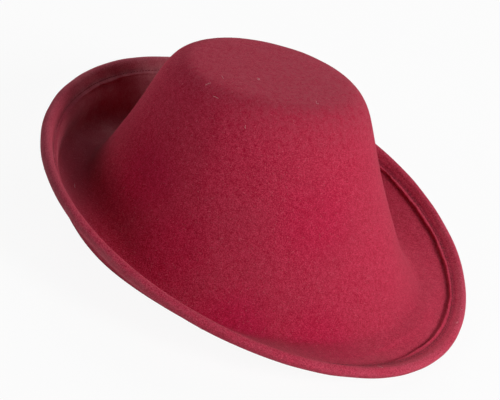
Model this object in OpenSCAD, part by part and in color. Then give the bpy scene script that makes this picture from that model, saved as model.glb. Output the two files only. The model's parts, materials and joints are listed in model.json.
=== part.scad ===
/* [Crown] */
// Height of the tip above the table, measured along the crown's own axis
tip_height = 122; // [112:0.5:132]
// Length of the tip's outline, front to back
tip_length = 126.5; // [115:0.5:140]
// Width of the tip's outline
tip_width = 101; // [90:1:115]
// Rise of the tip's middle over its outline
tip_dome = 0.8; // [0:0.1:4]
// How far the side stands in from a straight cone
side_hollow = 2.8; // [0:0.1:4]
// Length of the head ring, where the side turns out into the brim
head_length = 201.5; // [192:0.5:211]
// Width of the head ring
head_width = 158; // [150:1:168]
// Height of the head ring above the table
head_height = 31; // [26:0.5:36]
// Angle by which the crown leans towards the high back
crown_lean = 7.4; // [4:0.2:10]
// How far the crown sits forward on the brim
crown_shift = 3.9; // [0:0.1:8]

/* [Brim] */
// Start of the hollow of the brim, out from the head ring at the front
hollow_start_front = 22.5; // [18:0.5:27]
// Start of the hollow at the sides
hollow_start_side = 20.5; // [15:0.5:21.5]
// Start of the hollow at the back
hollow_start_back = 6; // [4:0.5:12]
// End of the hollow, out from the head ring at the front
hollow_end_front = 36; // [32:0.5:38]
// End of the hollow at the sides
hollow_end_side = 28.5; // [27.5:0.5:34]
// End of the hollow at the back
hollow_end_back = 26; // [20:0.5:27]
// Height of the hollow above the table at the front
hollow_up_front = 6; // [0:0.5:12]
// Height of the hollow above the table at the back
hollow_up_back = 12; // [0:0.5:20]
// Reach of the rim, out from the head ring at the front
rim_out_front = 60.5; // [57:0.5:66]
// Reach of the rim at the sides
rim_out_side = 71; // [65:0.5:77]
// Reach of the rim at the back
rim_out_back = 34.5; // [31:0.5:40]
// Height of the rim at the front
rim_up_front = 4.1; // [4:0.1:12]
// Height of the rim at the sides
rim_up_side = 36; // [30:0.5:42]
// Height of the rim at the back
rim_up_back = 51; // [46:0.5:58]

/* [Felt and welt] */
// Thickness of the felt
felt_t = 2.5; // [2:0.1:3]
// Width of the felt turned over at the rim, from the rim to its cut edge
welt_width = 13.2; // [12.9:0.1:15]
// Angle at which the welt rises outwards at the front
welt_angle_front = -3; // [-10:1:15]
// Angle of the welt at the sides
welt_angle_side = 42; // [32:1:52]
// Angle of the welt at the back
welt_angle_back = 38; // [25:1:48]
// Length of the bend that leads from the brim into the welt
welt_bend = 6.5; // [5.5:0.5:9]
// Distance of the stitched seam from the rim
seam_in = 10.3; // [8:0.1:10.6]
// Depth to which the stitches pull the felt in
seam_depth = 0.9; // [0.4:0.1:1.2]
// Half the width of the groove that the stitches draw
groove_half = 0.8; // [0.6:0.1:1]
// Bevel on the turned felt's cut edge
cut_bevel = 0.3; // [0.2:0.1:0.4]
// Slit between the turned felt and the brim under it
fold_gap = 0.15; // [0.1:0.05:0.3]
// Width of the flat lines on which the brim rests, one at each side
rest_width = 4; // [3:0.5:4.5]

/* [Edge wire] */
// Diameter of the wire in the rim
wire_d = 1.3; // [1:0.1:1.6]
// Wall of the crimped tube that joins the wire's ends
joiner_wall = 0.25; // [0.2:0.05:0.35]
// Length of the crimped tube
joiner_length = 22; // [14:1:30]
// Gap between the wire's ends inside the tube
wire_end_gap = 1; // [0.5:0.5:3]
// Clearance between the wire and the tube
joiner_clear = 0.05; // [0.03:0.01:0.1]
// Clearance between the tube and the felt folded over it
fold_clear = 0.1; // [0.1:0.05:0.2]

/* [Seam thread] */
// Diameter of the sewing thread
thread_d = 0.6; // [0.4:0.1:0.8]
// Clearance between the thread and what it lies on
thread_clear = 0.1; // [0.1:0.05:0.2]

/* [Sweatband] */
// Width of the ribbon sewn into the head opening
band_width = 25; // [20:1:30]
// Thickness of the ribbon
band_t = 0.8; // [0.6:0.1:1.2]
// Clearance between the ribbon and the felt, and between its lapped ends
band_clear = 0.2; // [0.1:0.05:0.4]
// Length over which the ribbon's ends lap at the back
band_lap = 14; // [8:1:20]
// Distance of the ribbon's stitches from its lower edge
band_seam_in = 2.5; // [2:0.5:5]

/* [Bow] */
// Span of the small bow over the ribbon's join
bow_span = 26; // [18:1:32]
// Width of the bow's ribbon
bow_ribbon = 8; // [6:0.5:10]
// Thickness of the bow's ribbon
bow_t = 0.5; // [0.4:0.1:0.8]
// Fullness of each loop
bow_loop = 3; // [2.4:0.1:4]
// Width of the knot
knot_width = 4; // [3:0.5:6]

/* [Hidden] */

felt_red = [0.60, 0.13, 0.23];
ribbon_red = [0.36, 0.06, 0.12];
thread_red = [0.42, 0.07, 0.14];
steel = [0.70, 0.71, 0.73];

band_rows = [0, 1, 2, 3] * band_width / 3;      // heights on the ribbon that carry a line of points
columns = 72;                                  // columns of points round the hat
centring = (rim_out_back - rim_out_front) / 2; // puts the middle of the hat's length at the origin
break_index = 4;                               // guide before the place where the crown ends
rest_index = 5;                                // guide before the lowest line of the brim
cut_index = 7;                                 // end of the profile, at the turned felt's cut edge
joiner_r = wire_d / 2 + joiner_clear + joiner_wall;
channel_r = (joiner_r + fold_clear) / cos(30); // inside of the fold, a hexagon clear of the tube
bead_r = channel_r + felt_t;                   // outside of the fold
level = felt_t + fold_gap;                     // top of the turned felt over the brim's upper side
rest_arc = 0.3;                                // cosine up to which the hollow lies on the table
back = 180;                                    // angle of the middle of the back

// A brim size that runs from its front value over the sides to its back value
function round_hat(front_size, side_size, back_size, a) =
    side_size + (front_size - back_size) / 2 * cos(a)
    + ((front_size + back_size) / 2 - side_size) * pow(cos(a), 2);

// Height of the hollow: nothing along the level arcs at the sides, and more towards the front and back
function hollow_up(a) =
    let (c = max(abs(cos(a)) - rest_arc, 0) / (1 - rest_arc))
    c * c * (3 - 2 * c) * (cos(a) > 0 ? hollow_up_front : hollow_up_back);

// A point on the crown, from half a length, half a width and a height in its own leaning frame
function on_crown(half_l, half_w, h, a) =
    let (x = half_l * cos(a), y = half_w * sin(a))
    [x * cos(crown_lean) - h * sin(crown_lean) + crown_shift + centring, y,
     x * sin(crown_lean) + h * cos(crown_lean)];

// A point on the brim, from its reach out from the head ring and its height above the table
function on_brim(reach, h, a) =
    [(head_length / 2 + reach) * cos(a) + centring, (head_width / 2 + reach) * sin(a), h];

// A point on the line of the welt, d back from the rim
function on_welt_line(d, a) =
    let (angle = round_hat(welt_angle_front, welt_angle_side, welt_angle_back, a))
    on_brim(round_hat(rim_out_front, rim_out_side, rim_out_back, a) - d * cos(angle),
            round_hat(rim_up_front, rim_up_side, rim_up_back, a) - d * sin(angle), a);

// The nine guide points of the felt's upper side at one angle, from the tip to the cut line
function guides(a) = [
    on_crown(0, 0, tip_height + tip_dome, a),
    on_crown(0.55 * tip_length / 2, 0.55 * tip_width / 2, tip_height + tip_dome, a),
    on_crown(tip_length / 2, tip_width / 2, tip_height, a),
    on_crown((tip_length + head_length) / 4 - side_hollow, (tip_width + head_width) / 4 - side_hollow,
             (tip_height + head_height) / 2, a),
    on_crown(head_length / 2, head_width / 2, head_height, a),
    on_brim(round_hat(hollow_start_front, hollow_start_side, hollow_start_back, a), hollow_up(a) + felt_t, a),
    on_brim(round_hat(hollow_end_front, hollow_end_side, hollow_end_back, a), hollow_up(a) + felt_t, a),
    on_welt_line(welt_width + welt_bend, a),
    on_welt_line(welt_width, a)];

// The felt's upper side as a smooth curve through those guides; s runs from 0 to the cut line
function curve(g, s) =
    let (i = min(floor(s), cut_index - 1), t = s - i,
         start = i == 0 ? g[0] : (g[i] + g[i + 1]) / 2,
         finish = i == cut_index - 1 ? g[cut_index + 1] : (g[i + 1] + g[i + 2]) / 2)
    (1 - t) * (1 - t) * start + 2 * t * (1 - t) * g[i + 1] + t * t * finish;

function unit(v) = v / norm(v);
// Direction square to the felt at a place, upwards on the brim and outwards on the crown
function square_to(a, s) =
    let (g = guides(a), small = 0.02,
         along = curve(g, min(s + small, cut_index)) - curve(g, max(s - small, small)),
         round = curve(guides(a + 0.5), s) - curve(guides(a - 0.5), s))
    unit(cross(along, round));
// A point at height h over the felt's upper side
function off_felt(a, s, h) = curve(guides(a), s) + h * square_to(a, s);
// A point of the welt, d back from the rim and h over the brim's upper side
function on_welt(a, d, h) =
    on_welt_line(d, a) + h * unit(cross(on_welt_line(0, a) - on_welt_line(welt_width, a),
                                        on_welt_line(d, a + 0.5) - on_welt_line(d, a - 0.5)));
// A point of the welt at distance r from the wire's middle; turn 0 is outwards and 90 is up
function round_wire(a, r, turn) = on_welt(a, bead_r - r * cos(turn), fold_gap / 2 + r * sin(turn));
// Place on the profile at distance d up the crown from the break line
function up_crown(a, d) =
    let (n = 12, step = 0.1, g = guides(a), p = [for (k = [0:n]) curve(g, break_index - k * step)])
    lookup(d, [for (k = 0, run = 0; k <= n; run = run + (k < n ? norm(p[k + 1] - p[k]) : 0), k = k + 1)
        [run, break_index - k * step]]);

// A swept solid: each column of points runs round one section, and an open sweep gets two ends
module sweep(cols, closed) {
    n = len(cols);
    m = len(cols[0]);
    walls = [for (i = [0:n - (closed ? 1 : 2)], j = [0:m - 1])
        let (a = i * m + j, b = i * m + (j + 1) % m,
             c = (i + 1) % n * m + (j + 1) % m, d = (i + 1) % n * m + j)
        each [[a, b, c], [a, c, d]]];
    ends = closed ? [] : [for (e = [0, n - 1], j = [0:m / 2 - 2])
        let (a = e * m + j, b = a + 1, c = e * m + m - 2 - j, d = c + 1)
        each (e == 0 ? [[a, c, b], [a, d, c]] : [[a, b, c], [a, c, d]])];
    polyhedron([for (c = cols) each c], concat(walls, ends));
}

// Felt: one blocked sheet, folded over the wire at the rim
crown_places = [0.5, 1, 1.25, 1.5, 1.75, 2, 2.5, 3, 3.35, 3.7, break_index, 4.35, 4.7];
inside_places = [0.5, 1, 1.33, 1.67, 2, 2.6];  // the rest of the inside follows the ribbon's rows
brim_steps = 5;
channel_turns = [210, 270, 330, 30, 90, 150];
bead_turns = [140, 110, 80, 50, 20, -10, -40, -75, -110, -140];
function felt_column(a) =
    let (g = guides(a), flat = rest_width / 2 / norm(g[6] - g[5]),
         brim = [for (k = [1:brim_steps]) rest_index + (cut_index - rest_index) * k / brim_steps],
         underside = [for (k = [brim_steps - 1:-1:0]) brim[k]],
         inside = concat([4.7, 4.35], [for (d = band_rows) up_crown(a, d)],
                         [for (k = [len(inside_places) - 1:-1:0]) inside_places[k]]))
    concat(
        [for (s = concat(crown_places, rest_index, brim)) curve(g, s)],
        [for (d = [welt_width - cut_bevel, seam_in]) on_welt(a, d, 0)],
        [for (t = channel_turns) round_wire(a, channel_r, t)],
        [for (d = [seam_in, welt_width - cut_bevel]) on_welt(a, d, fold_gap)],
        [on_welt(a, welt_width, level / 2), on_welt(a, welt_width - 2 * cut_bevel, level),
         on_welt(a, seam_in + 2 * groove_half, level), on_welt(a, seam_in, level - seam_depth)],
        [for (t = bead_turns) round_wire(a, bead_r, t)],
        [on_welt(a, seam_in, seam_depth / 2 - felt_t), on_welt(a, seam_in + groove_half, -felt_t)],
        [for (s = underside) off_felt(a, s, -felt_t)],
        [for (s = [rest_index + flat, rest_index - flat]) let (p = curve(g, s)) [p[0], p[1], hollow_up(a)]],
        [for (s = inside) off_felt(a, s, -felt_t)]);

module felt_body() {
    cols = [for (i = [0:columns - 1]) felt_column(i * 360 / columns)];
    n = len(cols[0]);
    tip = on_crown(0, 0, tip_height + tip_dome, 0);
    inside = on_crown(0, 0, tip_height + tip_dome - felt_t, 0);
    points = concat([tip], [for (c = cols) each c], [inside]);
    faces = [for (i = [0:columns - 1])
        let (a = 1 + i * n, b = 1 + (i + 1) % columns * n)
        each concat([[0, b, a], [len(points) - 1, a + n - 1, b + n - 1]],
            [for (k = [0:n - 2]) each [[a + k, b + k, b + k + 1], [a + k, b + k + 1, a + k + 1]]])];
    color(felt_red) polyhedron(points, faces);
}

// Edge wire: one turn inside the fold, its ends butted at the back
function rim_degrees(run) = run / (head_width / 2 + rim_out_back) * 180 / PI;
module brim_wire() {
    first = back + rim_degrees(wire_end_gap) / 2;
    turn = 360 - rim_degrees(wire_end_gap);
    color(steel) sweep([for (i = [0:columns])
        [for (t = [0:45:315]) round_wire(first + turn * i / columns, wire_d / 2, t)]], false);
}

// Crimped tube over the wire's two ends
module wire_joiner() {
    reach = rim_degrees(joiner_length) / 2;
    bore = (wire_d / 2 + joiner_clear) / cos(15);
    cols = [for (a = [back - reach, back, back + reach])
        concat([for (t = [0:30:330]) round_wire(a, joiner_r, t)],
               [for (t = [0:30:330]) round_wire(a, bore, t)])];
    m = 12;
    n = len(cols);
    outer = [for (i = [0:n - 2], j = [0:m - 1])
        let (a = i * 2 * m + j, b = i * 2 * m + (j + 1) % m)
        each [[a, b, b + 2 * m], [a, b + 2 * m, a + 2 * m]]];
    inner = [for (i = [0:n - 2], j = [0:m - 1])
        let (a = i * 2 * m + m + j, b = i * 2 * m + m + (j + 1) % m)
        each [[a, b + 2 * m, b], [a, a + 2 * m, b + 2 * m]]];
    ends = [for (e = [0, n - 1], j = [0:m - 1])
        let (a = e * 2 * m + j, b = e * 2 * m + (j + 1) % m)
        each (e == 0 ? [[a, b + m, b], [a, a + m, b + m]] : [[a, b, b + m], [a, b + m, a + m]])];
    color("silver") polyhedron([for (c = cols) each c], concat(outer, inner, ends));
}

// Seam threads: the needle thread lies in the groove over the seam, the bobbin thread under it
module seam_thread(h) {
    color(thread_red) sweep([for (i = [0:columns - 1])
        [for (t = [0:60:300])
            on_welt(i * 360 / columns, seam_in - thread_d / 2 * cos(t), h + thread_d / 2 * sin(t))]], true);
}
module welt_needle_thread() seam_thread(level - seam_depth + thread_clear + thread_d / 2);
module welt_bobbin_thread() seam_thread(seam_depth / 2 - felt_t - thread_clear - thread_d / 2);

// Sweatband: a ribbon round the inside of the head opening, its last end lapped over its first
lap_turn = band_lap / (head_width / 2) * 180 / PI;
band_columns = 76;
lap_ramp = 12;                                 // degrees over which the ribbon rises onto its own end
function lap_rise(a) =
    let (x = min(max((a - (back + 360 - lap_turn / 2 - lap_ramp)) / lap_ramp, 0), 1))
    (band_t + band_clear) * x * x * (3 - 2 * x);
// A point of the ribbon, d up from its lower edge and sunk in from its outer face
function on_band(a, d, sunk) =
    off_felt(a, up_crown(a, d), -(felt_t + band_clear + lap_rise(a) + sunk));
module sweatband() {
    color(ribbon_red) sweep([for (i = [0:band_columns])
        let (a = back - lap_turn / 2 + (360 + lap_turn) * i / band_columns)
        concat([for (d = band_rows) on_band(a, d, 0)],
               [for (k = [3:-1:0]) on_band(a, band_rows[k], band_t)])], false);
}

// Thread that holds the ribbon, along its lower edge
module sweatband_thread() {
    r = thread_d / 2;
    first = back + lap_turn / 2 + 1;
    color(thread_red) sweep([for (i = [0:columns])
        let (a = first + 358 * i / columns)
        [for (t = [0:60:300]) on_band(a, band_seam_in + r * cos(t), band_t + thread_clear + r + r * sin(t))]],
        false);
}

// Bow: two loops held by a knot, on the lapped ends of the ribbon
pinch = 0.65;                                  // share of the ribbon's width left inside the knot
knot_x = 1.5 * bow_t + thread_clear;           // half the knot's hole, in from the ribbon
bow_x = knot_x + bow_t + 2 * thread_clear;     // middle of the bow, in from the ribbon
module at_bow() {
    seat = on_band(back + 360, band_width / 2, band_t + band_clear);
    rise = on_band(back + 360, band_width * 0.75, band_t) - on_band(back + 360, band_width / 4, band_t);
    inwards = [-cos(back), -sin(back), 0];
    translate(seat) rotate([0, atan2(rise * inwards, rise[2]), back + 180]) children();
}
module loop_outline(shrink) {
    end_x = bow_x + pow(bow_span / 2, 2) / head_width;
    hull() {
        translate([bow_x, 0]) circle(r = 1.5 * bow_t - shrink / 2, $fn = 16);
        translate([end_x + bow_loop / 4, bow_span / 2 - bow_loop / 2]) circle(d = bow_loop - 2 * shrink, $fn = 24);
    }
}
module bow_loops() {
    half = bow_ribbon / 2;
    color(ribbon_red) at_bow() intersection() {
        translate([0, 0, -half]) linear_extrude(bow_ribbon) for (side = [0, 1]) mirror([0, side])
            difference() {
                loop_outline(0);
                intersection() {
                    loop_outline(bow_t);
                    translate([0, knot_width / 2 + 1]) square([bow_span, bow_span]);
                }
            }
        rotate([0, 90, 0]) linear_extrude(bow_span)
            polygon([[-half, -bow_span / 2], [-pinch * half, -knot_width / 2], [-pinch * half, knot_width / 2],
                     [-half, bow_span / 2], [half, bow_span / 2], [pinch * half, knot_width / 2],
                     [pinch * half, -knot_width / 2], [half, -bow_span / 2]]);
    }
}
module bow_knot() {
    hole_z = pinch * bow_ribbon / 2 + thread_clear;
    color(ribbon_red) at_bow() translate([bow_x, knot_width / 2, 0]) rotate([90, 0, 0])
        linear_extrude(knot_width) difference() {
            offset(bow_t, $fn = 24) square([2 * knot_x, 2 * hole_z], center = true);
            square([2 * knot_x, 2 * hole_z], center = true);
        }
}

felt_body();
brim_wire();
wire_joiner();
welt_needle_thread();
welt_bobbin_thread();
sweatband();
sweatband_thread();
bow_loops();
bow_knot();
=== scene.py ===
import json
import math
import random
from collections import namedtuple
import bpy
import bmesh
from mathutils import Vector, Matrix, kdtree, noise

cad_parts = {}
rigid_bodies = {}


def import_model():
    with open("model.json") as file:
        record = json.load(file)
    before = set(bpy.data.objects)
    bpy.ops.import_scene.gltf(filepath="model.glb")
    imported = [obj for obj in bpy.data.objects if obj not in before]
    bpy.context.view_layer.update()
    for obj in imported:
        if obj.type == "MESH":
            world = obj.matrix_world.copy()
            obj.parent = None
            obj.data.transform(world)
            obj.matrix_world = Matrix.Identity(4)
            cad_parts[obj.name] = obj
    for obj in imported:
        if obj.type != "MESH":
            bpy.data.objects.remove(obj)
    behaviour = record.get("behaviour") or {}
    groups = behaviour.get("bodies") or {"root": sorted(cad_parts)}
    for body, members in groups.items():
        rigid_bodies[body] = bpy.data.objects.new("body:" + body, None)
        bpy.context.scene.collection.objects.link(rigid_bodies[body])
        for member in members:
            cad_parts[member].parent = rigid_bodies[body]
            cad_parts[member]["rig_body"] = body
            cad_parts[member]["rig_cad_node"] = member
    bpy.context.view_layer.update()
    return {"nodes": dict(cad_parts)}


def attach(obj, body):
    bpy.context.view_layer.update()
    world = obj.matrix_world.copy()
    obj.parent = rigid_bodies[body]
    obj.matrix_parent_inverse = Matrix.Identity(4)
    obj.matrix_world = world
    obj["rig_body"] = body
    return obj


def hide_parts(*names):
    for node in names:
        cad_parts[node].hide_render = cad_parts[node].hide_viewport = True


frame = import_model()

nodes = frame["nodes"]
mm = 0.001


def deselectAll():
    if bpy.context.object and bpy.context.object.mode != "OBJECT":
        bpy.ops.object.mode_set(mode="OBJECT")
    bpy.ops.object.select_all(action="DESELECT")


def makeActive(piece):
    deselectAll()
    piece.select_set(True)
    bpy.context.view_layer.objects.active = piece


def applyModifier(piece, kind, **values):
    makeActive(piece)
    modifier = piece.modifiers.new(kind.lower(), kind)
    for name, value in values.items():
        setattr(modifier, name, value)
    bpy.ops.object.modifier_apply(modifier=modifier.name)


copyPlan = {
    "merge": 0.002 * mm,
    "faceAngle": 60,
    "shapeAngle": 80,
}


def copyOfNode(nodeName, pieceName):
    # a CAD node comes as loose triangles, so its copy is merged and turned to quads
    makeActive(nodes[nodeName])
    bpy.ops.object.duplicate()
    piece = bpy.context.object
    piece.name = pieceName
    piece.data.name = pieceName
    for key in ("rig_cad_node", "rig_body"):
        if key in piece:
            del piece[key]
    piece.parent = None
    piece.data.materials.clear()
    makeActive(piece)
    bpy.ops.object.mode_set(mode="EDIT")
    bpy.ops.mesh.select_all(action="SELECT")
    bpy.ops.mesh.remove_doubles(threshold=copyPlan["merge"])
    bpy.ops.mesh.tris_convert_to_quads(face_threshold=math.radians(copyPlan["faceAngle"]),
                                       shape_threshold=math.radians(copyPlan["shapeAngle"]))
    bpy.ops.object.mode_set(mode="OBJECT")
    return piece


def dress(piece, nodeName, material):
    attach(piece, "root")
    if nodeName:
        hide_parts(nodeName)
    piece.data.materials.clear()
    piece.data.materials.append(material)
    makeActive(piece)
    bpy.ops.object.shade_smooth()


viewPlan = {
    "aim": (-0.0062, -0.0132, 0.0384),
    "azimuth": 11.17,
    "elevation": 30.4,
    "roll": 20.29,
    "distance": 1.290,
    "lens": 146.1,
    "sensor": 36,
    "clip": (0.05, 60),
}


def makeCamera():
    turn, lift, roll = (math.radians(viewPlan[key]) for key in ("azimuth", "elevation", "roll"))
    back = Vector((math.sin(turn) * math.cos(lift), -math.cos(turn) * math.cos(lift), math.sin(lift)))
    level = Vector((math.cos(turn), math.sin(turn), 0))
    upright = back.cross(level)
    right = math.cos(roll) * level + math.sin(roll) * upright
    up = back.cross(right)
    bpy.ops.object.camera_add(location=Vector(viewPlan["aim"]) + back * viewPlan["distance"])
    camera = bpy.context.object
    camera.rotation_euler = Matrix((right, up, back)).transposed().to_euler()
    camera.data.lens = viewPlan["lens"]
    camera.data.sensor_width = viewPlan["sensor"]
    camera.data.clip_start, camera.data.clip_end = viewPlan["clip"]
    bpy.context.scene.camera = camera


makeCamera()
print("camera set")


def nodesOf(material):
    material.use_nodes = True
    tree = material.node_tree
    tree.nodes.clear()
    return tree


def startMaterial(name):
    # a material of one shader, and the coordinates on the piece that wears it
    material = bpy.data.materials.new(name)
    tree = nodesOf(material)
    out = tree.nodes.new("ShaderNodeOutputMaterial")
    shader = tree.nodes.new("ShaderNodeBsdfPrincipled")
    tree.links.new(shader.outputs[0], out.inputs[0])
    return material, tree, shader, tree.nodes.new("ShaderNodeTexCoord").outputs["Object"]


def noiseNode(tree, coordinates, scale, detail=3.0, roughness=0.55, distortion=0.0):
    grain = tree.nodes.new("ShaderNodeTexNoise")
    grain.inputs["Scale"].default_value = scale
    grain.inputs["Detail"].default_value = detail
    grain.inputs["Roughness"].default_value = roughness
    grain.inputs["Distortion"].default_value = distortion
    tree.links.new(coordinates, grain.inputs["Vector"])
    return grain.outputs["Fac"]


def rampNode(tree, value, low, high):
    # a value spread so that low becomes 0 and high becomes 1
    spread = tree.nodes.new("ShaderNodeMapRange")
    spread.inputs["From Min"].default_value = low
    spread.inputs["From Max"].default_value = high
    tree.links.new(value, spread.inputs["Value"])
    return spread.outputs["Result"]


def mathNode(tree, operation, first, second):
    node = tree.nodes.new("ShaderNodeMath")
    node.operation = operation
    for socket, value in zip(node.inputs, (first, second)):
        if isinstance(value, (int, float)):
            socket.default_value = value
        else:
            tree.links.new(value, socket)
    return node.outputs[0]


def timesNode(tree, first, second):
    return mathNode(tree, "MULTIPLY", first, second)


def addNode(tree, first, second):
    return mathNode(tree, "ADD", first, second)


def pointValue(tree, name):
    carried = tree.nodes.new("ShaderNodeAttribute")
    carried.attribute_name = name
    return carried.outputs["Fac"]


def mixColours(tree, share, first, second, blend="MIX"):
    mix = tree.nodes.new("ShaderNodeMix")
    mix.data_type = "RGBA"
    mix.blend_type = blend
    for socket, value in zip((mix.inputs[0], mix.inputs[6], mix.inputs[7]), (share, first, second)):
        if isinstance(value, (int, float, tuple)):
            socket.default_value = value
        else:
            tree.links.new(value, socket)
    return mix.outputs[2]


def bumpNode(tree, height, strength, distance, below=None):
    bump = tree.nodes.new("ShaderNodeBump")
    bump.inputs["Strength"].default_value = strength
    bump.inputs["Distance"].default_value = distance
    tree.links.new(height, bump.inputs["Height"])
    if below:
        tree.links.new(below, bump.inputs["Normal"])
    return bump.outputs["Normal"]


def softNoise(place, size, seed=0.0):
    return noise.noise(Vector(place) / size + Vector((seed, 2.3 * seed, 0.7 * seed)))


def easeIn(value, low, high):
    share = min(max((value - low) / (high - low), 0.0), 1.0)
    return share * share * (3 - 2 * share)


floorPlan = {
    "size": 30.0,
    "colour": (0.90, 0.90, 0.90, 1),
    "glow": 0.92,
}


def makeFloor():
    bpy.ops.mesh.primitive_plane_add(size=floorPlan["size"], location=(0, 0, 0))
    floor = bpy.context.object
    floor.name = "floor"
    material = bpy.data.materials.new("paperSweep")
    tree = nodesOf(material)
    out = tree.nodes.new("ShaderNodeOutputMaterial")
    paper = tree.nodes.new("ShaderNodeBsdfDiffuse")
    paper.inputs["Color"].default_value = floorPlan["colour"]
    # the eye sees the paper nearly white and keeps a faint shadow, while the hat gets its plain light
    white = tree.nodes.new("ShaderNodeEmission")
    white.inputs["Color"].default_value = (1, 1, 1, 1)
    path = tree.nodes.new("ShaderNodeLightPath")
    mix = tree.nodes.new("ShaderNodeMixShader")
    seen = timesNode(tree, path.outputs["Is Camera Ray"], floorPlan["glow"])
    tree.links.new(seen, mix.inputs[0])
    tree.links.new(paper.outputs[0], mix.inputs[1])
    tree.links.new(white.outputs[0], mix.inputs[2])
    tree.links.new(mix.outputs[0], out.inputs[0])
    floor.data.materials.append(material)


makeFloor()

lightPlan = {
    "world": 0.02,
    "middle": (0, 0, 0.05),
    "distance": 2.0,
    "width": 0.8,
    # name, direction from +X in degrees, height in degrees, watts
    "lamps": (
        ("keyLamp", 348, 31, 27.5),
        ("sideLamp", 90, 38, 7.0),
        ("backLamp", 135, 25, 9.2),
        ("leftLamp", 225, 19, 8.0),
        ("nearLamp", 315, 25, 4.8),
    ),
}


def makeLamps():
    middle = Vector(lightPlan["middle"])
    for name, turn, lift, watts in lightPlan["lamps"]:
        turn, lift = math.radians(turn), math.radians(lift)
        away = Vector((math.cos(turn) * math.cos(lift), math.sin(turn) * math.cos(lift), math.sin(lift)))
        bpy.ops.object.light_add(type="AREA", location=middle + away * lightPlan["distance"])
        lamp = bpy.context.object
        lamp.name = name
        lamp.data.size = lightPlan["width"]
        lamp.data.energy = watts
        lamp.rotation_euler = (-away).to_track_quat("-Z", "Y").to_euler()


def makeWorld():
    world = bpy.data.worlds.new("studio")
    bpy.context.scene.world = world
    world.use_nodes = True
    tree = world.node_tree
    tree.nodes.clear()
    out = tree.nodes.new("ShaderNodeOutputWorld")
    plain = tree.nodes.new("ShaderNodeBackground")
    plain.inputs["Color"].default_value = (1, 1, 1, 1)
    plain.inputs["Strength"].default_value = lightPlan["world"]
    white = tree.nodes.new("ShaderNodeBackground")
    white.inputs["Color"].default_value = (1, 1, 1, 1)
    white.inputs["Strength"].default_value = 1.0
    path = tree.nodes.new("ShaderNodeLightPath")
    mix = tree.nodes.new("ShaderNodeMixShader")
    seen = mathNode(tree, "MAXIMUM", path.outputs["Is Camera Ray"], path.outputs["Is Glossy Ray"])
    tree.links.new(seen, mix.inputs[0])
    tree.links.new(plain.outputs[0], mix.inputs[1])
    tree.links.new(white.outputs[0], mix.inputs[2])
    tree.links.new(mix.outputs[0], out.inputs[0])


makeWorld()
makeLamps()
bpy.context.scene.view_settings.view_transform = "Standard"
print("floor and light set")

seamPlan = {
    "middleX": -0.013,
    "start": -2.5,  # degrees, half a ring of the thread before +X
    "cuts": 16,
    "framesPerHole": 4,
    "stitch": 2.3 * mm,
    "thread": 0.30 * mm,
    "bow": 0.42 * mm,
}


def awayFromMiddle(place):
    return Vector((place[0] - seamPlan["middleX"], place[1], 0))


def turnAbout(place):
    return math.atan2(place[1], place[0] - seamPlan["middleX"])


# the threads of the CAD model lie along their seams, so their rings tell where the seams run
def ringMiddles(nodeName, firstAngle, sides=6):
    node = nodes[nodeName]
    points = (node.matrix_world @ vertex.co for vertex in node.data.vertices)
    places = {tuple(round(value, 6) for value in point) for point in points}
    start = math.radians(firstAngle)
    places = sorted(places, key=lambda place: (turnAbout(place) - start) % (2 * math.pi))
    return [sum((Vector(place) for place in places[k:k + sides]), Vector()) / sides
            for k in range(0, len(places), sides)]


def smoothPath(points, cuts, closed):
    count = len(points)
    path = []
    for k in range(count if closed else count - 1):
        if closed:
            a, b, c, d = (points[(k + step) % count] for step in (-1, 0, 1, 2))
        else:
            a, b, c, d = (points[min(max(k + step, 0), count - 1)] for step in (-1, 0, 1, 2))
        for cut in range(cuts):
            t = cut / cuts
            path.append(0.5 * (2 * b + (c - a) * t + (2 * a - 5 * b + 4 * c - d) * t ** 2
                               + (3 * b - a - 3 * c + d) * t ** 3))
    if not closed:
        path.append(points[-1].copy())
    return path


def framesAlong(path, upwards, closed):
    # place, direction along the seam, direction away from the felt and direction across the seam
    frames = []
    for k, place in enumerate(path):
        ahead = path[(k + 1) % len(path)] if closed else path[min(k + 1, len(path) - 1)]
        behind = path[k - 1] if closed or k else path[0]
        along = (ahead - behind).normalized()
        up = upwards[k].normalized()
        across = along.cross(up).normalized()
        if across.dot(awayFromMiddle(place)) < 0:
            across.negate()
        frames.append((place, along, up, across))
    return frames


seamTop = smoothPath(ringMiddles("welt_needle_thread", seamPlan["start"]), seamPlan["cuts"], True)
seamUnder = smoothPath(ringMiddles("welt_bobbin_thread", seamPlan["start"]), seamPlan["cuts"], True)
topFrames = framesAlong(seamTop, [top - under for top, under in zip(seamTop, seamUnder)], True)
underFrames = framesAlong(seamUnder, [under - top for top, under in zip(seamTop, seamUnder)], True)
seamStep = sum((b - a).length for a, b in zip(seamTop, seamTop[1:])) / (len(seamTop) - 1)
seamTree = kdtree.KDTree(len(seamTop))
for k, place in enumerate(seamTop):
    seamTree.insert(place, k)
seamTree.balance()
print("seam found at %d places" % len(seamTop))


# the frame of the seam that is nearest to a place, and how far ahead, inwards and up from it the place lies
seamSpot = namedtuple("seamSpot", "index distance ahead inwards height")


def spotAt(place):
    index, distance = seamTree.find(place)[1:]
    middle, along, up, across = topFrames[index]
    offset = place - middle
    return seamSpot(index, distance, offset.dot(along), -offset.dot(across), offset.dot(up))


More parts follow.
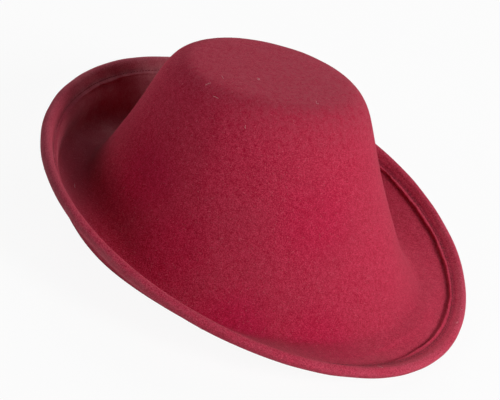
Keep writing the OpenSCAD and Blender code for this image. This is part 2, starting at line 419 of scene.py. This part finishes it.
feltPlan = {
    "deep": (0.41, 0.0035, 0.0325, 1),
    "pale": (0.66, 0.053, 0.112, 1),
    "pit": (0.68, 0.45, 0.55, 1),
    "fibre": (0.74, 0.15, 0.20, 1),
    # greyer red: the tip's painted sheen, and random clouds
    "dull": (0.42, 0.050, 0.080, 1),
    # painted shade: the back of the brim in the crown's shadow
    "shaded": (0.27, 0.028, 0.050, 1),
    # painted shade along the stitches and under the roll
    "seamPaintedShade": (0.12, 0.016, 0.027, 1),
    "rubbed": (0.65, 0.092, 0.150, 1),
    # dust on the rim, also painted over the shaded back of the brim as grey fill light
    "dust": (0.52, 0.16, 0.19, 1),
    "sheen": (1.0, 0.42, 0.48, 1),
    # spots where the red is deeper: place, radius and share
    "crimson": (1.0, 0.42, 0.84, 1),
    "crimsonSpots": (((-0.062, -0.058, 0.047), 0.034, 0.75), ((-0.030, -0.083, 0.022), 0.036, 0.6),
                     ((0.030, -0.104, 0.003), 0.038, 0.95), ((0.080, -0.080, 0.006), 0.036, 0.65),
                     ((0.045, -0.050, 0.066), 0.036, 0.5)),
    # noises of the material: scale, detail, roughness
    "fine": (1300, 2, 0.8),
    "matted": (330, 5, 0.75),
    "cloudy": (28, 3, 0.5),
    "pits": (1650, 1, 0.5),
    "specks": (1500, 2, 0.6),
    "seamShadeNoise": (420, 3, 0.7),
    "patchy": (90, 3, 0.55),
    # how much of each layer shows
    "palerFront": 1.5,  # for each metre towards the front
    "pitShare": 0.75,
    "speckShare": 0.5,
    # the tip's painted sheen: heights where it starts and is full, and its share
    "tipHeights": (0.098, 0.124),
    "tipSheenShare": 0.80,
    "cloudShare": 0.16,
    "seamShadeShare": 0.9,
    "rubbedShare": 1.3,
    "dustAndFillShare": 0.75,
    # waves of the shape: how far they reach, then the size, share and seed of each noise
    "dent": 0.45 * mm,
    "dentWaves": ((0.034, 1, 1), (0.013, 0.45, 2)),
    "edgeWave": 0.75 * mm,
    "edgeWaves": ((0.021, 1, 3), (0.0075, 0.9, 4), (0.0035, 0.5, 11)),
    "edgeLift": 0.45 * mm,
    "liftWaves": ((0.016, 1, 5), (0.006, 0.5, 6)),
    "liftLevel": 0.35,
    "rollWave": 0.30 * mm,
    "rollWaves": ((0.018, 1, 8),),
    "rubbedWaves": ((0.02, 0.5, 9),),
    "pucker": 0.42 * mm,
    "puckerWaves": ((0.0055, 0.5, 7),),
    "underGroove": 0.5 * mm,
    "notch": (0.1301, -0.0224),
    "notchDepth": 1.5 * mm,
    "pressed": 0.68,
    # heights from the top row of stitches that part the felt's faces
    "slitFloor": -2.6 * mm,
    "turnedFelt": -2.08 * mm,
    "topFace": -1.2 * mm,
    "outerFace": -3.4 * mm,
    # how far from the seam the felt is shaped and how far it is worn
    "shapedReach": 14 * mm,
    "wornReach": 16 * mm,
    "finerAcross": (-1.2 * mm, 2.8 * mm),
    "finerUp": (-1.5 * mm, 3 * mm),
    # zones, each from where its effect starts to where it is full
    "dentPastSeam": (6 * mm, 22 * mm),
    "dentOverTable": (3 * mm, 14 * mm),
    "edgeStart": (0.8 * mm, 2.8 * mm),
    "edgeEnd": (4 * mm, 8 * mm),
    "liftZone": (0.8 * mm, 3.2 * mm),
    "pressedZone": (0.2 * mm, 2.9 * mm),
    "pressedStart": (-150, -100),  # degrees about the head
    "pressedEnd": (-28, 4),
    "notchZone": (1.2 * mm, 2.8 * mm),
    "notchEnd": (0.8 * mm, 3.4 * mm),
    "puckerEnd": (0.6 * mm, 2.6 * mm),
    "grooveEnd": (0.8 * mm, 3.2 * mm),
    "rollZone": (1 * mm, 4 * mm),
    # where the painted shade along the stitches lies
    "seamShadeMiddle": -0.4 * mm,
    "seamShadeEnd": (0.4 * mm, 2.1 * mm),
    "insideUp": (-3.5 * mm, -1.0 * mm),
    "dustEnd": (8 * mm, 15 * mm),
    "dustNear": (0.02, 0.10),
    "dustBack": (-0.03, 0.06),
    "rollTopOut": (1.8 * mm, 4.5 * mm),
    "rollTopUp": (-3.5 * mm, -1.5 * mm),
    "rubbedFront": (0.06, 0.12),
    "rubbedFar": (-0.02, 0.03),
    # painted shade under and along the outer edge of the roll
    "rimShadeBelow": (6.5 * mm, 9.5 * mm),
    "rimShadeOut": (8.0 * mm, 10.4 * mm),
    # painted shade on the back of the brim, lighter behind the crown
    "backBrim": (0.055, 0.115),
    "brimReach": (0.088, 0.108),
    "behindStart": (-0.01, 0.03),
    "behindEnd": (0.05, 0.08),
    # painted grey fill light in the hollow behind the crown
    "hollowEnd": (0.040, 0.055),
    "farPaintedFill": (-0.03, 0.02),
}


def feltNoise(tree, place, name, distortion=0.0):
    return noiseNode(tree, place, *feltPlan[name], distortion)


def makeFeltMaterial():
    material, tree, cloth, place = startMaterial("redFelt")
    split = tree.nodes.new("ShaderNodeSeparateXYZ")
    tree.links.new(place, split.inputs[0])
    fine = feltNoise(tree, place, "fine")
    matted = feltNoise(tree, place, "matted", 0.4)
    # the nap is a mottle of deep and pale fibres, a little paler towards the low front
    mottle = addNode(tree, timesNode(tree, rampNode(tree, fine, 0.40, 0.60), 0.66),
                     timesNode(tree, rampNode(tree, matted, 0.40, 0.60), 0.34))
    mottle = addNode(tree, mottle, timesNode(tree, split.outputs["X"], feltPlan["palerFront"]))
    colour = mixColours(tree, mottle, feltPlan["deep"], feltPlan["pale"])
    # pits between the fibres, about as wide as the fibres' tufts
    pits = rampNode(tree, feltNoise(tree, place, "pits"), 0.56, 0.40)
    pitShare = timesNode(tree, pits, feltPlan["pitShare"])
    colour = mixColours(tree, pitShare, colour, feltPlan["pit"], "MULTIPLY")
    # loose fibres catch the light in specks
    specks = rampNode(tree, feltNoise(tree, place, "specks"), 0.62, 0.80)
    colour = mixColours(tree, timesNode(tree, specks, feltPlan["speckShare"]), colour, feltPlan["fibre"])
    # painted sheen: the tip is painted duller and greyer than the sides, for the sheen of the felt seen at
    # a grazing angle there, partly dust
    tip = rampNode(tree, split.outputs["Z"], *feltPlan["tipHeights"])
    tip = timesNode(tree, timesNode(tree, tip, feltPlan["tipSheenShare"]), rampNode(tree, matted, 0.36, 0.62))
    clouds = rampNode(tree, feltNoise(tree, place, "cloudy"), 0.42, 0.68)
    clouds = timesNode(tree, clouds, feltPlan["cloudShare"])
    colour = mixColours(tree, mathNode(tree, "MAXIMUM", tip, clouds), colour, feltPlan["dull"])
    # the points carry painted shade on the back of the brim, where the crown shades it, and the spots where
    # the red is deeper
    colour = mixColours(tree, pointValue(tree, "shaded"), colour, feltPlan["shaded"])
    colour = mixColours(tree, pointValue(tree, "crimson"), colour, feltPlan["crimson"], "MULTIPLY")
    # painted shade: the felt is darkened along the stitch row, most at the needle holes, and under and
    # along the outer edge of the roll
    seamShade = rampNode(tree, feltNoise(tree, place, "seamShadeNoise"), 0.28, 0.60)
    seamShade = timesNode(tree, timesNode(tree, pointValue(tree, "seam"), seamShade), feltPlan["seamShadeShare"])
    colour = mixColours(tree, seamShade, colour, feltPlan["seamPaintedShade"])
    rubbed = timesNode(tree, pointValue(tree, "rubbed"), rampNode(tree, fine, 0.38, 0.62))
    colour = mixColours(tree, timesNode(tree, rubbed, feltPlan["rubbedShare"]), colour, feltPlan["rubbed"])
    # dust on the rim, and the grey fill light painted over the shaded back of the brim, lie in patches
    patches = timesNode(tree, rampNode(tree, feltNoise(tree, place, "patchy"), 0.40, 0.65), 0.3)
    patches = addNode(tree, patches, timesNode(tree, rampNode(tree, fine, 0.40, 0.70), 0.35))
    patches = timesNode(tree, addNode(tree, patches, 0.25), feltPlan["dustAndFillShare"])
    colour = mixColours(tree, timesNode(tree, pointValue(tree, "dustAndPaintedFill"), patches), colour, feltPlan["dust"])
    tree.links.new(colour, cloth.inputs["Base Color"])
    cloth.inputs["Roughness"].default_value = 0.95
    cloth.inputs["Specular IOR Level"].default_value = 0.08
    cloth.inputs["Sheen Weight"].default_value = 0.16
    cloth.inputs["Sheen Roughness"].default_value = 0.5
    cloth.inputs["Sheen Tint"].default_value = feltPlan["sheen"]
    nap = bumpNode(tree, matted, 0.6, 0.5 * mm)
    nap = bumpNode(tree, fine, 1.0, 0.32 * mm, nap)
    tree.links.new(nap, cloth.inputs["Normal"])
    return material


def waves(place, name):
    return sum(share * softNoise(place, size, seed) for size, share, seed in feltPlan[name])


def zone(value, name):
    return easeIn(value, *feltPlan[name])


def needleHole(spot):
    # 1 at a needle hole and 0 midway between two
    frames = spot.index + spot.ahead / seamStep
    return 0.5 + 0.5 * math.cos(2 * math.pi / seamPlan["framesPerHole"] * frames)


def dentMove(place, spot):
    # slow dents of the blocked shape, the same on both faces of the felt
    away = awayFromMiddle(place)
    if away.length > 1e-6:
        away.normalize()
    calm = zone(spot.distance, "dentPastSeam") * zone(place.z, "dentOverTable")
    return away * feltPlan["dent"] * calm * waves(place, "dentWaves")


def cutEdgeMove(place, spot):
    # the cut edge is pressed thin along the low side, stands up elsewhere, and has one small nick
    middle, along, up, across = topFrames[spot.index]
    turn = math.degrees(turnAbout(middle))
    pressed = zone(turn, "pressedStart") * (1 - zone(turn, "pressedEnd"))
    thin = feltPlan["pressed"] * pressed * zone(spot.inwards, "pressedZone")
    lift = max(feltPlan["liftLevel"] + waves(middle, "liftWaves"), 0.0)
    lift *= zone(spot.inwards, "liftZone") * (1 - pressed)
    fromNotch = (Vector(feltPlan["notch"]) - place.xy).length
    notch = zone(spot.inwards, "notchZone") * (1 - zone(fromNotch, "notchEnd"))
    move = up * (feltPlan["edgeLift"] * lift - (spot.height - feltPlan["turnedFelt"]) * thin)
    return move + across * feltPlan["notchDepth"] * notch


def feltMove(place, spot):
    move = dentMove(place, spot)
    if spot.distance >= feltPlan["shapedReach"]:
        return move
    middle, along, up, across = topFrames[spot.index]
    if spot.height > feltPlan["slitFloor"]:
        nearEdge = zone(spot.inwards, "edgeStart") * (1 - zone(spot.inwards, "edgeEnd"))
        move += across * feltPlan["edgeWave"] * nearEdge * waves(middle, "edgeWaves")
    if spot.height > feltPlan["turnedFelt"] and spot.inwards > 0:
        move += cutEdgeMove(place, spot)
    # the stitches pucker the felt along their row and draw a groove on the outside too
    if spot.height > feltPlan["topFace"]:
        depth = 0.55 + waves(middle, "puckerWaves") + 0.9 * needleHole(spot) ** 2
        move -= up * feltPlan["pucker"] * (1 - zone(abs(spot.inwards), "puckerEnd")) * depth
    if spot.height < feltPlan["outerFace"]:
        move += up * feltPlan["underGroove"] * (1 - zone(abs(spot.inwards), "grooveEnd"))
    if spot.inwards < -feltPlan["rollZone"][0]:
        outwards = (up * spot.height - across * spot.inwards).normalized()
        wave = zone(-spot.inwards, "rollZone") * waves(middle, "rollWaves")
        move += outwards * feltPlan["rollWave"] * wave
    return move


# painted shade along the stitch row, darkest at the needle holes
def stitchShade(spot):
    if spot.distance >= feltPlan["shapedReach"] or spot.height <= feltPlan["topFace"]:
        return 0.0
    nearRow = 1 - zone(abs(spot.inwards - feltPlan["seamShadeMiddle"]), "seamShadeEnd")
    return nearRow * (0.18 + 0.82 * needleHole(spot) ** 2)


def rimShares(place):
    # dust on the outside of the rim, paler felt on top of the roll, and painted shade under and along the
    # outer edge of the roll
    spot = spotAt(place)
    if spot.distance >= feltPlan["wornReach"]:
        return 0.0, 0.0, 0.0
    outside = 1 - zone(spot.height, "insideUp")
    backSide = zone(-place.y, "dustNear") * zone(-place.x, "dustBack")
    dust = (0.28 + 0.72 * backSide) * outside * (1 - zone(spot.distance, "dustEnd"))
    onTop = zone(-spot.inwards, "rollTopOut") * zone(spot.height, "rollTopUp")
    rubbed = 0.40 + (0.30 + 0.25 * zone(place.y, "rubbedFar")) * zone(place.x, "rubbedFront")
    rubbed *= onTop * (0.75 + waves(topFrames[spot.index][0], "rubbedWaves"))
    rimShade = max(0.45 * zone(-spot.inwards, "rimShadeBelow") * outside, 0.36 * zone(-spot.inwards, "rimShadeOut"))
    return dust, rubbed, rimShade


def feltShares(place, stitches):
    # what the felt's material reads at a point
    dust, rubbed, rimShade = rimShares(place)
    # the back of the brim, in the crown's shadow, which gets painted shade and painted grey fill light
    onBack = zone(-place.x, "backBrim") * zone(awayFromMiddle(place).length, "brimReach")
    # painted light: pale dust colour is painted over the shaded back of the brim, most of all in the hollow
    # behind the crown, for the grey light that fills their shade; behind the crown the painted shade is
    # lighter
    behind = zone(place.y, "behindStart") * (1 - zone(place.y, "behindEnd"))
    hollow = zone(place.y, "behindStart") * (1 - zone(place.z, "hollowEnd"))
    backPaintedFill = onBack * (0.12 + 0.72 * zone(place.y, "farPaintedFill") + 0.85 * hollow)
    crimson = max(share * (1 - easeIn((place - Vector(middle)).length, 0.3 * radius, radius))
                  for middle, radius, share in feltPlan["crimsonSpots"])
    return {
        "dustAndPaintedFill": max(dust, backPaintedFill),
        "seam": max(stitches, rimShade),
        "rubbed": rubbed,
        "shaded": onBack * (0.80 - 0.60 * behind),
        "crimson": crimson,
    }


def shapeFelt(felt):
    stitches = []
    for vertex in felt.data.vertices:
        place = vertex.co.copy()
        spot = spotAt(place)
        stitches.append(stitchShade(spot))
        vertex.co = place + feltMove(place, spot)
    shares = [feltShares(vertex.co, seamShade) for vertex, seamShade in zip(felt.data.vertices, stitches)]
    for name in shares[0]:
        values = [share[name] for share in shares]
        felt.data.attributes.new(name, "FLOAT", "POINT").data.foreach_set("value", values)


def cutFiner(felt):
    # the faces along the stitches are cut finer, for their puckers
    makeActive(felt)
    bpy.ops.object.mode_set(mode="EDIT")
    bpy.ops.mesh.select_all(action="DESELECT")
    bpy.ops.object.mode_set(mode="OBJECT")
    low, high = feltPlan["finerAcross"]
    under, over = feltPlan["finerUp"]
    for face in felt.data.polygons:
        spot = spotAt(face.center)
        face.select = low < spot.inwards < high and under < spot.height < over
    bpy.ops.object.mode_set(mode="EDIT")
    bpy.ops.mesh.subdivide(number_cuts=1, smoothness=0)
    bpy.ops.object.mode_set(mode="OBJECT")


def makeFelt():
    felt = copyOfNode("felt_body", "hatFelt")
    quads = sum(1 for face in felt.data.polygons if len(face.vertices) == 4)
    print("felt: %d faces, %d of them quads" % (len(felt.data.polygons), quads))
    applyModifier(felt, "SUBSURF", levels=2, render_levels=2)
    cutFiner(felt)
    shapeFelt(felt)
    return felt


feltMaterial = makeFeltMaterial()
hatFelt = makeFelt()
dress(hatFelt, "felt_body", feltMaterial)
print("felt done: %d faces" % len(hatFelt.data.polygons))

threadPlan = {
    "colour": (0.15, 0.007, 0.018, 1),
    "paler": (0.26, 0.014, 0.032, 1),
    "plyScale": 520,
    # how unevenly the stitches lie: angles in radians, share of the size, lengths
    "swing": 0.05,
    "tilt": 0.03,
    "size": 0.05,
    "lift": 0.03 * mm,
    "drift": 0.05 * mm,
}


def makeThreadMaterial():
    material, tree, cotton, place = startMaterial("sewingThread")
    ply = tree.nodes.new("ShaderNodeTexWave")
    ply.wave_type = "BANDS"
    ply.bands_direction = "DIAGONAL"
    ply.inputs["Scale"].default_value = threadPlan["plyScale"]
    ply.inputs["Distortion"].default_value = 1.5
    tree.links.new(place, ply.inputs["Vector"])
    colour = mixColours(tree, ply.outputs["Fac"], threadPlan["colour"], threadPlan["paler"])
    tree.links.new(colour, cotton.inputs["Base Color"])
    cotton.inputs["Roughness"].default_value = 0.62
    cotton.inputs["Specular IOR Level"].default_value = 0.25
    tree.links.new(bumpNode(tree, ply.outputs["Fac"], 0.7, 0.08 * mm), cotton.inputs["Normal"])
    return material


def makeStitch(length, radius, rise):
    # one stitch: a slim grain of thread, bowed so that both its ends go into the felt
    deselectAll()
    bpy.ops.mesh.primitive_uv_sphere_add(segments=6, ring_count=6, radius=1, location=(0, 0, 0))
    stitch = bpy.context.object
    bpy.ops.object.mode_set(mode="EDIT")
    bpy.ops.mesh.select_all(action="SELECT")
    bpy.ops.transform.rotate(value=math.pi / 2, orient_axis="Y", center_override=(0, 0, 0))
    bpy.ops.transform.resize(value=(length / 2, radius, radius), center_override=(0, 0, 0))
    bpy.ops.object.mode_set(mode="OBJECT")
    for vertex in stitch.data.vertices:
        vertex.co.z -= rise * (2 * vertex.co.x / length) ** 2
    return stitch


# the places of stitches: each a frame's number and the share of the way to the next frame
def spotsBetweenHoles(frames):
    step = seamPlan["framesPerHole"]
    return [(number * step + step // 2, 0.0) for number in range(len(frames) // step)]


def spotsAtPitch(frames, pitch):
    steps = [(ahead[0] - frame[0]).length for frame, ahead in zip(frames, frames[1:])]
    total = sum(steps)
    count = int(total / pitch)
    spots = []
    k, run = 0, 0.0
    for number in range(count):
        target = (number + 0.5) * total / count
        while run + steps[k] < target:
            run += steps[k]
            k += 1
        spots.append((k, (target - run) / steps[k]))
    return spots


def sewAlong(pieceName, frames, spots, stitch, sink):
    # copies of the stitch along the seam, each a little different
    chance = random.Random(pieceName)
    sewn = bmesh.new()
    for k, share in spots:
        here, ahead = frames[k], frames[(k + 1) % len(frames)]
        place = here[0].lerp(ahead[0], share)
        along = here[1].lerp(ahead[1], share).normalized()
        across = here[2].lerp(ahead[2], share).normalized().cross(along).normalized()
        up = along.cross(across)
        swing = Matrix.Rotation(chance.gauss(0, threadPlan["swing"]), 3, "Z")
        tilt = Matrix.Rotation(chance.gauss(0, threadPlan["tilt"]), 3, "Y")
        turn = Matrix((along, across, up)).transposed() @ swing @ tilt
        size = 1 + chance.gauss(0, threadPlan["size"])
        centre = place + up * (chance.gauss(0, threadPlan["lift"]) - sink)
        centre += across * chance.gauss(0, threadPlan["drift"])
        before = len(sewn.verts)
        sewn.from_mesh(stitch.data)
        sewn.verts.ensure_lookup_table()
        for vertex in sewn.verts[before:]:
            vertex.co = centre + turn @ (vertex.co * size)
    mesh = bpy.data.meshes.new(pieceName)
    sewn.to_mesh(mesh)
    sewn.free()
    piece = bpy.data.objects.new(pieceName, mesh)
    bpy.context.collection.objects.link(piece)
    print("%s: %d stitches" % (pieceName, len(spots)))
    return piece


threadMaterial = makeThreadMaterial()
weltStitch = makeStitch(seamPlan["stitch"], seamPlan["thread"], seamPlan["bow"])
for pieceName, nodeName, frames, sink in (
        ("needleStitches", "welt_needle_thread", topFrames, feltPlan["pucker"] * 0.8),
        ("bobbinStitches", "welt_bobbin_thread", underFrames, feltPlan["underGroove"])):
    row = sewAlong(pieceName, frames, spotsBetweenHoles(frames), weltStitch, sink)
    dress(row, nodeName, threadMaterial)
bpy.data.objects.remove(weltStitch, do_unlink=True)

ribbonPlan = {
    "colour": (0.13, 0.005, 0.015, 1),
    "paler": (0.29, 0.016, 0.038, 1),
    "width": 0.025,
    "length": 0.600,
    "rib": 0.16 * mm,
    "slack": 0.12 * mm,
    "weaveScale": 620,
    "cloudScale": 300,
    # its sewing: direction in degrees from which the stitches are counted, and their sizes
    "start": 184.0,
    "cuts": 8,
    "stitch": 5.0 * mm,
    "thread": 0.30 * mm,
    "bow": 0.5 * mm,
    "pitch": 7.0 * mm,
    "sink": 0.05 * mm,
}


def makeRibbonMaterial():
    material, tree, rayon, place = startMaterial("grosgrain")
    weave = tree.nodes.new("ShaderNodeTexWave")
    weave.wave_type = "BANDS"
    weave.bands_direction = "Z"
    weave.inputs["Scale"].default_value = ribbonPlan["weaveScale"]
    weave.inputs["Distortion"].default_value = 0.6
    weave.inputs["Detail Scale"].default_value = 3
    tree.links.new(place, weave.inputs["Vector"])
    tint = addNode(tree, timesNode(tree, weave.outputs["Fac"], 0.5),
                   timesNode(tree, noiseNode(tree, place, ribbonPlan["cloudScale"]), 0.5))
    colour = mixColours(tree, tint, ribbonPlan["colour"], ribbonPlan["paler"])
    tree.links.new(colour, rayon.inputs["Base Color"])
    rayon.inputs["Roughness"].default_value = 0.48
    rayon.inputs["Specular IOR Level"].default_value = 0.35
    tree.links.new(bumpNode(tree, weave.outputs["Fac"], 0.35, 0.06 * mm), rayon.inputs["Normal"])
    return material


def cutAcross(piece):
    # one more column of points between every two round the ribbon
    makeActive(piece)
    bpy.ops.object.mode_set(mode="EDIT")
    bpy.ops.mesh.select_all(action="DESELECT")
    bpy.ops.mesh.select_mode(type="EDGE")
    bpy.ops.object.mode_set(mode="OBJECT")
    for edge in piece.data.edges:
        a, b = (piece.data.vertices[k].co for k in edge.vertices)
        tangent = Vector((-math.sin(turnAbout(a)), math.cos(turnAbout(a)), 0))
        edge.select = abs((b - a).normalized().dot(tangent)) > 0.75
    bpy.ops.object.mode_set(mode="EDIT")
    bpy.ops.mesh.subdivide(number_cuts=1)
    bpy.ops.mesh.select_mode(type="VERT")
    bpy.ops.object.mode_set(mode="OBJECT")


def makeSweatband():
    band = copyOfNode("sweatband", "headRibbon")
    applyModifier(band, "SUBSURF", levels=2, render_levels=2)
    cutAcross(band)
    count = len(band.data.vertices)
    cutAcross(band)
    print("ribbon: %d points, then %d" % (count, len(band.data.vertices)))
    # the ribs: every second column of points stands back
    normals = [vertex.normal.copy() for vertex in band.data.vertices]
    for vertex in band.data.vertices:
        depth = ribbonPlan["rib"] if vertex.index >= count else 0
        slack = ribbonPlan["slack"] * softNoise(vertex.co, 0.03, 9)
        vertex.co -= normals[vertex.index] * depth
        vertex.co += awayFromMiddle(vertex.co).normalized() * min(slack, 0)
    return band


def makeBandStitches():
    path = smoothPath(ringMiddles("sweatband_thread", ribbonPlan["start"]), ribbonPlan["cuts"], False)
    # the ribbon faces the middle of the head, and a little up
    inwards = [Vector((0, 0, 0.2 * awayFromMiddle(place).length)) - awayFromMiddle(place) for place in path]
    frames = framesAlong(path, inwards, False)
    stitch = makeStitch(ribbonPlan["stitch"], ribbonPlan["thread"], ribbonPlan["bow"])
    spots = spotsAtPitch(frames, ribbonPlan["pitch"])
    stitches = sewAlong("ribbonStitches", frames, spots, stitch, ribbonPlan["sink"])
    bpy.data.objects.remove(stitch, do_unlink=True)
    return stitches


ribbonMaterial = makeRibbonMaterial()
headRibbon = makeSweatband()
dress(headRibbon, "sweatband", ribbonMaterial)
print("ribbon done: %d faces" % len(headRibbon.data.polygons))
dress(makeBandStitches(), "sweatband_thread", threadMaterial)

bowPlan = {
    "edge": 0.16 * mm,
    "edgeAngle": 40,
    "smoothAngle": 35,
}


def makeBowPart(nodeName, pieceName):
    part = copyOfNode(nodeName, pieceName)
    applyModifier(part, "BEVEL", width=bowPlan["edge"], segments=2, limit_method="ANGLE",
                  angle_limit=math.radians(bowPlan["edgeAngle"]))
    dress(part, nodeName, ribbonMaterial)
    bpy.ops.object.shade_smooth_by_angle(angle=math.radians(bowPlan["smoothAngle"]))


makeBowPart("bow_loops", "bowLoops")
makeBowPart("bow_knot", "bowKnot")
print("bow done")

metalPlan = {
    "wire": (0.46, 0.46, 0.48, 1),
    "wireRoughness": 0.25,
    "joiner": (0.60, 0.60, 0.62, 1),
    "joinerRoughness": 0.3,
    "drawnScale": 420,
    "edge": 0.05 * mm,
    "edgeAngle": 50,
    "smoothAngle": 35,
}


def makeMetalMaterial(name, colour, roughness):
    material, tree, metal, place = startMaterial(name)
    drawn = noiseNode(tree, place, metalPlan["drawnScale"], 4, 0.6)
    darker = tuple(value * 0.7 for value in colour[:3]) + (1,)
    tree.links.new(mixColours(tree, drawn, darker, colour), metal.inputs["Base Color"])
    metal.inputs["Metallic"].default_value = 1
    tree.links.new(addNode(tree, timesNode(tree, drawn, 0.2), roughness), metal.inputs["Roughness"])
    tree.links.new(bumpNode(tree, drawn, 0.2, 0.02 * mm), metal.inputs["Normal"])
    return material


def makeWire():
    wire = copyOfNode("brim_wire", "rimWire")
    applyModifier(wire, "SUBSURF", levels=1, render_levels=1)
    steel = makeMetalMaterial("drawnWire", metalPlan["wire"], metalPlan["wireRoughness"])
    dress(wire, "brim_wire", steel)


def makeJoiner():
    tube = copyOfNode("wire_joiner", "wireTube")
    applyModifier(tube, "BEVEL", width=metalPlan["edge"], segments=2, limit_method="ANGLE",
                  angle_limit=math.radians(metalPlan["edgeAngle"]))
    steel = makeMetalMaterial("crimpedTube", metalPlan["joiner"], metalPlan["joinerRoughness"])
    dress(tube, "wire_joiner", steel)
    bpy.ops.object.shade_smooth_by_angle(angle=math.radians(metalPlan["smoothAngle"]))


makeWire()
makeJoiner()
print("wire done")

fuzzPlan = {
    "count": 16000,
    "length": (0.6 * mm, 2.2 * mm),
    "width": 0.10 * mm,
    "slope": 0.225,
    "sink": 0.04 * mm,
    "bend": 0.25,
    # share of the length and of the width, from root to tip
    "steps": ((0, 1), (0.5, 0.9), (1, 0.3)),
    "colour": (0.80, 0.20, 0.26, 1),
    "tintScale": 350,
    "seed": 5,
}

lintPlan = {
    "places": ((-0.1091, -0.0493, 0.0134), (-0.0463, -0.0297, 0.1186), (-0.0512, -0.0410, 0.1142),
               (-0.0394, -0.0470, 0.1132), (0.1429, 0.0117, 0.0080), (0.1198, -0.0827, 0.0144),
               (0.1408, 0.0298, 0.0088), (0.0150, -0.0224, 0.1261), (-0.0160, -0.0537, 0.1063)),
    "strays": 9,
    "strayFloor": 0.01,
    "points": (6, 10),
    "step": 0.45 * mm,
    "radius": 0.075 * mm,
    "endLift": 0.4 * mm,
    "curl": 0.5,
    "wander": 0.15,
    "colour": (0.82, 0.60, 0.60, 1),
    "seed": 21,
}


def makeFibreMaterial(name, colour):
    material, tree, wool, place = startMaterial(name)
    darker = tuple(value * 0.6 for value in colour[:3]) + (1,)
    tint = mixColours(tree, noiseNode(tree, place, fuzzPlan["tintScale"], 2), darker, colour)
    tree.links.new(tint, wool.inputs["Base Color"])
    wool.inputs["Roughness"].default_value = 0.8
    wool.inputs["Specular IOR Level"].default_value = 0.1
    return material


foldPlan = {
    "reach": 12 * mm,
    # the channel round the wire: its middle, outwards and down from the seam, and its radius
    "channelOut": 6.6 * mm,
    "channelDown": 2.1 * mm,
    "channelRadius": 2.4 * mm,
    "slitAcross": (-7 * mm, 2.6 * mm),
    "slitUp": (-2.5 * mm, -1.6 * mm),
}


def insideFold(place):
    # true in the slit under the turned felt and in the channel round the wire
    spot = spotAt(place)
    if spot.distance > foldPlan["reach"]:
        return False
    fromWire = math.hypot(spot.inwards + foldPlan["channelOut"], spot.height + foldPlan["channelDown"])
    outer, inner = foldPlan["slitAcross"]
    under, over = foldPlan["slitUp"]
    inSlit = outer < spot.inwards < inner and under < spot.height < over
    return inSlit or fromWire < foldPlan["channelRadius"]


def randomVector(chance):
    return Vector((chance.gauss(0, 1), chance.gauss(0, 1), chance.gauss(0, 1)))


def makeFuzz(felt):
    # loose fibres that stand out of the nap, each a slim strip of two faces
    chance = random.Random(fuzzPlan["seed"])
    faces = felt.data.polygons
    places = chance.choices(range(len(faces)), weights=[face.area for face in faces], k=fuzzPlan["count"])
    points, strips = [], []
    for number in places:
        face = faces[number]
        if insideFold(face.center):
            continue
        normal = face.normal
        corners = [felt.data.vertices[k].co for k in face.vertices]
        root = face.center + (corners[0] - corners[2 % len(corners)]) * chance.uniform(-0.45, 0.45)
        lie = normal.cross(randomVector(chance)).normalized()
        length = chance.uniform(*fuzzPlan["length"])
        bend = normal.cross(lie) * chance.gauss(0, fuzzPlan["bend"])
        side = normal.cross(lie) * fuzzPlan["width"] / 2
        for step, thin in fuzzPlan["steps"]:
            rise = fuzzPlan["slope"] * length * step * chance.uniform(0.5, 1.6) - fuzzPlan["sink"]
            middle = root + (lie + bend * step) * length * step + normal * rise
            points += [middle - side * thin, middle + side * thin]
        first = len(points) - 6
        strips += [(first, first + 1, first + 3, first + 2), (first + 2, first + 3, first + 5, first + 4)]
    mesh = bpy.data.meshes.new("feltFuzz")
    mesh.from_pydata(points, [], strips)
    fuzz = bpy.data.objects.new("feltFuzz", mesh)
    bpy.context.collection.objects.link(fuzz)
    return fuzz


def layStrand(felt, spline, start, chance):
    # one strand lies along the felt, with both its ends lifted off it
    count = chance.randint(*lintPlan["points"])
    heading = Vector((chance.gauss(0, 1), chance.gauss(0, 1), 0)).normalized()
    curl = chance.uniform(-lintPlan["curl"], lintPlan["curl"])
    place = start
    spline.points.add(count - 1)
    for k in range(count):
        near, normal = felt.closest_point_on_mesh(place)[1:3]
        lift = 2.2 * lintPlan["radius"] + lintPlan["endLift"] * (2 * k / (count - 1) - 1) ** 4
        spline.points[k].co = (*(near + normal * lift), 1)
        heading = Matrix.Rotation(curl + chance.gauss(0, lintPlan["wander"]), 3, normal) @ heading
        heading = (heading - normal * heading.dot(normal)).normalized()
        place = near + heading * lintPlan["step"]


def makeLint(felt):
    chance = random.Random(lintPlan["seed"])
    starts = [Vector(place) for place in lintPlan["places"]]
    outer = [vertex.co for vertex in felt.data.vertices
             if vertex.co.z > lintPlan["strayFloor"] and not insideFold(vertex.co)]
    starts += [chance.choice(outer).copy() for number in range(lintPlan["strays"])]
    data = bpy.data.curves.new("lint", "CURVE")
    data.dimensions = "3D"
    data.bevel_depth = lintPlan["radius"]
    data.bevel_resolution = 1
    data.use_fill_caps = True
    for start in starts:
        layStrand(felt, data.splines.new("POLY"), start, chance)
    strands = bpy.data.objects.new("lint", data)
    bpy.context.collection.objects.link(strands)
    makeActive(strands)
    bpy.ops.object.convert(target="MESH")
    return bpy.context.object


feltFuzz = makeFuzz(hatFelt)
dress(feltFuzz, None, makeFibreMaterial("looseFibre", fuzzPlan["colour"]))
lint = makeLint(hatFelt)
dress(lint, None, makeFibreMaterial("paleLint", lintPlan["colour"]))
print("fibres done: %d faces" % (len(feltFuzz.data.polygons) + len(lint.data.polygons)))
